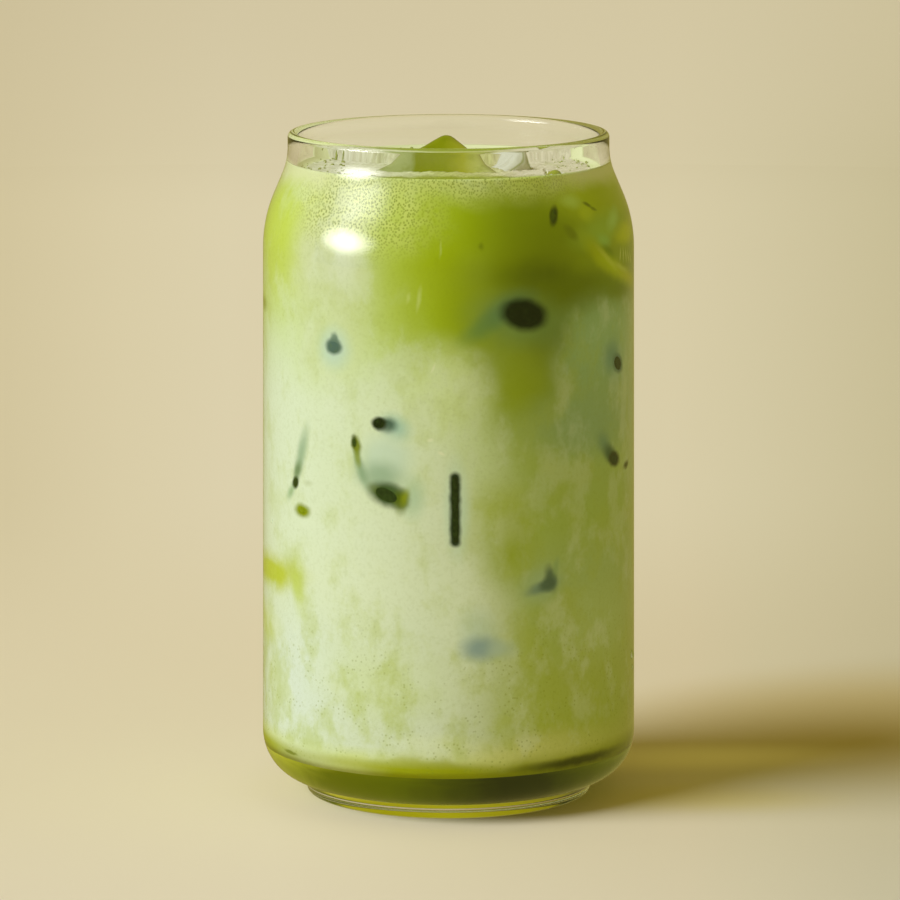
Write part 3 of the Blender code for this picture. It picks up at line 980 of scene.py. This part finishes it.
def tea_coated_ice():
    """Melting ice under a film of tea: grey green on its left, olive ahead and milkier to the right."""
    finish = Finish("tea_coated_ice")
    place = finish.place()
    x = finish.split(finish.vector("ADD", place, wander(finish, place, 4.0, 0.5, 2.0)))[0]
    colour = finish.along(x, -18.0, 18.0, COATED_ICE)
    film = finish.span(finish.noise(place, 3.4, 3.0, 0.55), 0.48, 0.66, 0.0, 0.4)
    return finish.done({
        "Base Color": finish.mix(film, colour, (118, 130, 4)),
        "Roughness": 0.2,
        "IOR": ICE_IOR,
        "Coat Weight": 0.25,
        "Coat Roughness": 0.05,
        "Normal": finish.bump(finish.noise(place, 2.6, 2.0), 0.2),
    })


def clear_ice():
    """Clear wet ice: painted white for the light in it, with two dim arcs of painted shade where its right
    side turns away.
    """
    finish = Finish("clear_ice")
    facing = finish.node("ShaderNodeAttribute", {"attribute_name": "facing"}, output="Fac")
    return finish.done({
        "Base Color": finish.along(facing, -1.0, 1.0, CLEAR_ICE_PAINTED_LIGHT),
        "Roughness": 0.08,
        "IOR": ICE_IOR,
        "Transmission Weight": 0.2,
        "Normal": finish.bump(finish.noise(finish.place(), 2.2, 2.0), 0.3),
    })


def pressed_ice_painted_shade():
    """Ice seen end on through the drink: near black, olive or grey by the tip's shade, and uneven, in painted
    shade.
    """
    finish = Finish("pressed_ice_painted_shade")
    shade = finish.node("ShaderNodeAttribute", {"attribute_name": "shade"}, output="Fac")
    uneven = shade + (finish.noise(finish.place(), 0.9, 2.0) - 0.5) * 0.5
    return finish.done({
        "Base Color": finish.ramp(uneven, TIP_SHADES),
        "Roughness": 0.35,
        "Specular IOR Level": 0.0,
    })


def thin_bubbles():
    """Wet skins of foam: pale, glossy and partly clear."""
    finish = Finish("thin_bubbles")
    return finish.done({
        "Base Color": finish.mix(finish.noise(finish.place(), 3.0, 2.0), (212, 220, 140), (146, 162, 36)),
        "Roughness": 0.08,
        "IOR": WATER_IOR,
        "Transmission Weight": 0.35,
    })


def water():
    """Clear water."""
    finish = Finish("water")
    clear = finish.principled({
        "Base Color": (0.96, 0.98, 0.94, 1.0),
        "Roughness": 0.0,
        "IOR": WATER_IOR,
        "Transmission Weight": 1.0,
    })
    return finish.surface(see_through(finish, clear, (0.94, 0.96, 0.9, 1.0)))


# The paper's colours with painted light over a fan of directions from the camera: near the glass, level with
# it and far off, and soft ellipses on (x, y) of painted shadow, with warm and bright painted light in it, in
# a patch's columns
FAN_REACH = 0.0844
NEAR_LIT_PAPER = (
    (0.0, (234, 223, 205)), (0.3, (235, 224, 206)), (0.5, (231, 220, 201)),
    (0.77, (226, 215, 195)), (0.86, (221, 212, 192)), (1.0, (211, 204, 185)),
)
MIDDLE_LIT_PAPER = (
    (0.0, (232, 220, 196)), (0.3, (233, 221, 197)), (0.5, (228, 216, 188)),
    (0.77, (224, 210, 184)), (0.86, (217, 206, 180)), (1.0, (208, 198, 172)),
)
FAR_LIT_PAPER = (
    (0.0, (226, 214, 188)), (0.13, (233, 222, 199)), (0.25, (236, 226, 206)),
    (0.75, (232, 222, 200)), (0.84, (226, 217, 194)), (1.0, (215, 206, 180)),
)
PAPER_PAINTED_SHADOW = (
    (88.0, 66.0, 52.0, 34.0, 30, 0.7, (204, 178, 106), 0.55),
    (104.0, 40.0, 26.0, 30.0, 0, 0.9, (190, 166, 96), 0.45),
    (52.0, -12.0, 20.0, 9.0, 0, 0.9, (224, 206, 120), 0.5),
    (50.0, 25.0, 24.0, 9.0, 6, 0.9, (252, 238, 196), 0.85),
)


def paper_with_painted_light():
    """Cream paper: a painted fan of soft light, palest left of the glass and dimmer right, and a painted
    shadow.
    """
    finish = Finish("cream_paper_painted_light")
    place = finish.place()
    x, y, _ = finish.split(place)
    fan = finish.span(x.math("DIVIDE", x, y - CAMERA_PLACE[1]), -FAN_REACH, FAN_REACH, kind="LINEAR")
    near, middle, far = (finish.ramp(fan, stops) for stops in (NEAR_LIT_PAPER, MIDDLE_LIT_PAPER, FAR_LIT_PAPER))
    colour = finish.mix(finish.span(y, -120.0, 10.0), near, middle)
    colour = finish.mix(finish.span(y, 90.0, 360.0), colour, far)
    # Painted shade: the paper grows darker far off
    colour = finish.mix(finish.span(y, 900.0, 1500.0, 0.0, 0.6), colour, (208, 196, 172))
    # The painted shadow of the glass, with warm and bright painted light in it
    colour = finish.wash(colour, finish.vector("MULTIPLY", place, (1.0, 1.0, 0.0)), PAPER_PAINTED_SHADOW)
    colour = finish.mix(finish.noise(place, 300.0, 3.0) * 0.08, colour, (214, 200, 176))
    return finish.done({"Base Color": colour, "Roughness": 0.9, "Specular IOR Level": 0.1})


def soft_light():
    """A tall glowing window with soft edges, and a bright core low in it."""
    finish = Finish("soft_light")
    x, y, _ = finish.split(finish.node("ShaderNodeTexCoord", output="UV"))
    from_middle = (x - 0.5).magnitude()
    upper = finish.span(y, 0.4, 0.95, 0.25, 1.0) * finish.span(y, 0.0, 0.3)
    pane = finish.span(from_middle, 0.5, 0.0) * upper
    core_share = finish.span(finish.reach((x - 0.5) * 2.3, (y - 0.36) * 4.7), 1.15, 0.05)
    glow = pane * WINDOW_GLOW + core_share * WINDOW_CORE
    return finish.surface(finish.node("ShaderNodeEmission", None, {"Color": WINDOW_COLOUR, "Strength": glow}))


# Pieces


def make_glass(finish):
    """The glass, turned from its whole section."""
    points, quads, fans = turned(glass_line(), TURN_STEPS)
    put_mesh("can_shaped_glass", points, (quads, fans), finish, slot="glass", stands_for=["glass"])


def make_drink(wall_finish, top_finish, low_finish):
    """The drink, turned from its section, with its surface raised and sunk by drink_surface."""
    line, first = drink_line()
    points, quads, fans = turned(line, TURN_STEPS)
    start = (first - 1) * TURN_STEPS
    top = np.r_[start:len(points) - 2, len(points) - 1]
    points[top, 2] += drink_surface(points[top, 0], points[top, 1]) - DRINK_LEVEL
    faces = (quads, fans)
    piece = put_mesh("milk_and_matcha", points, faces, wall_finish, slot="drink", stands_for=["drink"])
    piece.data.materials.append(top_finish)
    piece.data.materials.append(low_finish)
    finishes = np.zeros(len(quads) + len(fans), np.int32)
    finishes[start:len(quads)] = 1
    finishes[:FLOOR_RINGS * TURN_STEPS] = 2
    finishes[len(quads):] = np.repeat((2, 1), TURN_STEPS)
    piece.data.polygons.foreach_set("material_index", finishes)


def make_ice(coated, clear):
    """The three blocks that stand out of the drink; facing is the part of each point's normal along +X."""
    for seed, (node, (size, middle, turn, rounding)) in enumerate(ICE.items()):
        points, quads, facing = ice_points(size, middle, turn, rounding, ICE_WAVE, seed + 5)
        finish = clear if node == "ice_middle" else coated
        piece = put_mesh("wet_" + node, points, (quads,), finish, slot="ice", stands_for=[node])
        keep_value(piece, "facing", facing)


def make_sunk_ice(finish):
    """The tips as one mesh: swollen blocks laid along the wall, which reach just past the drink's surface.

    A tip's own (x, y) is turned and laid on (round, up), and its depth goes inwards from the drink's wall.
    """
    line = inner_line(WALL - DRINK_REACH, DRINK_STEPS)
    wall = line[line[:, 1] > FLOOR_EDGE + FLOOR_CORNER]
    points, faces, shades = [], [], []
    for round_, up, wide, high, turn, square, shade in SUNK_ICE.values():
        half = np.array([wide, high, min(wide, high)])
        block, quads = swollen_block(half, square, TIP_STEPS)
        c, s = math.cos(math.radians(turn)), math.sin(math.radians(turn))
        around = round_ + c * block[:, 0] - s * block[:, 1]
        rise = up + s * block[:, 0] + c * block[:, 1]
        depth = block[:, 2] / half[2]
        bulge = depth * np.where(depth > 0, TIP_BULGE, TIP_DEPTH)
        radius = np.interp(rise, wall[:, 1], wall[:, 0]) + bulge
        faces.append(quads + sum(len(p) for p in points))
        points.append(wall_point(around, rise, radius))
        shades.append(np.full(len(block), shade))
    piece = put_mesh("sunk_ice", np.concatenate(points), (np.concatenate(faces),), finish, slot="ice")
    keep_value(piece, "shade", np.concatenate(shades))


def make_bubbles(finish):
    """Small domes scattered over the surface by the wall, most of them close to it, and left out over the
    ice.
    """
    draw = np.random.default_rng(11)
    a = draw.uniform(-math.pi, math.pi, BUBBLE_COUNT)
    r = BUBBLE_REACH[1] - (BUBBLE_REACH[1] - BUBBLE_REACH[0]) * draw.uniform(0, 1, BUBBLE_COUNT) ** 2
    size = BUBBLE_SIZES[0] + (BUBBLE_SIZES[1] - BUBBLE_SIZES[0]) * draw.uniform(0, 1, BUBBLE_COUNT) ** 3
    x, y = r * np.sin(a), -r * np.cos(a)
    spans = np.stack([block_span(name, x, y)[2] for name in ICE])
    free = (spans < 0).all(axis=0)
    x, y, size = x[free], y[free], size[free]
    middle = np.stack([x, y, drink_surface(x, y) - BUBBLE_SINK * size], axis=-1)

    tilt = np.radians(BUBBLE_TILTS)
    rings = turned_rings(np.stack([np.cos(tilt), np.sin(tilt)], axis=1), BUBBLE_STEPS)
    dome = np.concatenate([rings, [(0, 0, math.sin(tilt[0])), (0, 0, 1)]])
    quads, fans = turned_faces(len(tilt), BUBBLE_STEPS)
    points = (middle[:, None, :] + size[:, None, None] * dome).reshape(-1, 3)
    start = (np.arange(len(x)) * len(dome))[:, None, None]
    faces = ((quads + start).reshape(-1, 4), (fans + start).reshape(-1, 3))
    put_mesh("foam_bubbles", points, faces, finish, slot="drink")


def make_beads(finish):
    """Beads of water on the outside of the glass: rounded pads laid along the wall that swell outwards."""
    points, faces = [], []
    for round_, up, wide, high in BEADS.values():
        block, quads = swollen_block(np.array([wide, high, wide]), 2.0, TIP_STEPS)
        depth = block[:, 2] / wide
        outside = body_radius(up) + depth * np.where(depth > 0, BEAD_BULGE * wide, BEAD_SINK)
        faces.append(quads + sum(len(p) for p in points))
        points.append(wall_point(round_ + block[:, 0], up + block[:, 1], outside))
    put_mesh("water_beads", np.concatenate(points), (np.concatenate(faces),), finish, slot="glass")


def make_stage(finish):
    """A flat round floor, and beyond it a sweep that rises all round: a quarter arc and a short wall."""
    reach = FLOOR_RADII[-1]
    floor = np.array([(radius, 0.0) for radius in FLOOR_RADII])
    sweep = arc((reach, SWEEP_CURVE), SWEEP_CURVE, SWEEP_CURVE, -math.pi / 2, 0, 24)
    sweep = np.concatenate([sweep, [(reach + SWEEP_CURVE, SWEEP_TOP)]])
    for name, line in (("floor", floor), ("sweep", sweep)):
        points = turned_rings(line, STAGE_STEPS)
        quads, fans = turned_faces(len(line), STAGE_STEPS)
        faces = [quads[:, ::-1]]
        if name == "floor":
            points = np.concatenate([points, [(0, 0, 0)]])
            faces.append(fans[:STAGE_STEPS, ::-1])
        stage = put_mesh(name, points, faces, finish)
        stage.visible_glossy = False
        if name == "sweep":
            stage.visible_diffuse = False
            stage.visible_shadow = False


def make_softbox(finish):
    """A panel square to the way from it to the shoulder of the glass."""
    azimuth, elevation, distance, height = WINDOW_PLACE
    middle = np.array(direction(azimuth, elevation, distance, height))
    outward = middle - (0, 0, height)
    outward /= np.linalg.norm(outward)
    side = np.cross((0, 0, 1), outward)
    side /= np.linalg.norm(side)
    rise = np.cross(outward, side)
    corners = np.array([(-1, -1), (-1, 1), (1, 1), (1, -1)])
    points = middle + corners[:, :1] * WINDOW_HALF[0] * side + corners[:, 1:] * WINDOW_HALF[1] * rise
    panel = put_mesh("soft_panel", points, (np.array([[0, 1, 2, 3]]),), finish)
    sheet = panel.data.uv_layers.new(name="UVMap")
    sheet.data.foreach_set("uv", ((corners + 1) / 2).astype(np.float32).reshape(-1))
    panel.visible_camera = False
    panel.visible_shadow = False
    panel.visible_diffuse = False
    panel.visible_transmission = False


def look_at(holder, place, aim):
    """Put an object at place with its -Z axis towards aim and its +Y axis as upright as it goes."""
    start = Vector(place) * MM
    holder.location = start
    holder.rotation_euler = (Vector(aim) * MM - start).to_track_quat("-Z", "Y").to_euler()


def direction(azimuth, elevation, distance, height):
    """A place seen from the glass at that azimuth to the right of the viewer and that elevation."""
    a, e = math.radians(azimuth), math.radians(elevation)
    return (distance * math.cos(e) * math.sin(a), -distance * math.cos(e) * math.cos(a),
            height + distance * math.sin(e))


def light_the_scene():
    """A broad cool light from the left, a window of light that shines in the glass, and a warm low fill."""
    lamp = bpy.data.lights.new("side_light", "SUN")
    lamp.energy = SIDE_POWER
    lamp.color = SIDE_COLOUR
    lamp.angle = math.radians(SIDE_WIDTH)
    holder = bpy.data.objects.new("side_light", lamp)
    bpy.context.scene.collection.objects.link(holder)
    look_at(holder, direction(*SIDE_LIGHT), (0, 0, SIDE_LIGHT[3]))
    holder.visible_camera = False
    holder.visible_glossy = False
    holder.visible_transmission = False
    make_softbox(soft_light())
    world = bpy.data.worlds.new("warm_fill")
    world.use_nodes = True
    world.node_tree.nodes["Background"].inputs["Color"].default_value = FILL
    bpy.context.scene.world = world
    bpy.context.scene.view_settings.view_transform = "Standard"


def make_camera():
    """A long lens a little above the rim, in front."""
    lens = bpy.data.cameras.new("camera")
    lens.lens = CAMERA_LENS
    lens.sensor_width = CAMERA_SENSOR
    lens.clip_start = 0.05
    lens.clip_end = 20.0
    holder = bpy.data.objects.new("camera", lens)
    bpy.context.scene.collection.objects.link(holder)
    look_at(holder, CAMERA_PLACE, CAMERA_AIM)
    bpy.context.scene.camera = holder


make_camera()
make_glass(clear_glass())
make_drink(milk_and_tea(), froth(), underside_painted_shade_and_glow())
make_ice(tea_coated_ice(), clear_ice())
make_sunk_ice(pressed_ice_painted_shade())
make_bubbles(thin_bubbles())
make_beads(water())
make_stage(paper_with_painted_light())
light_the_scene()
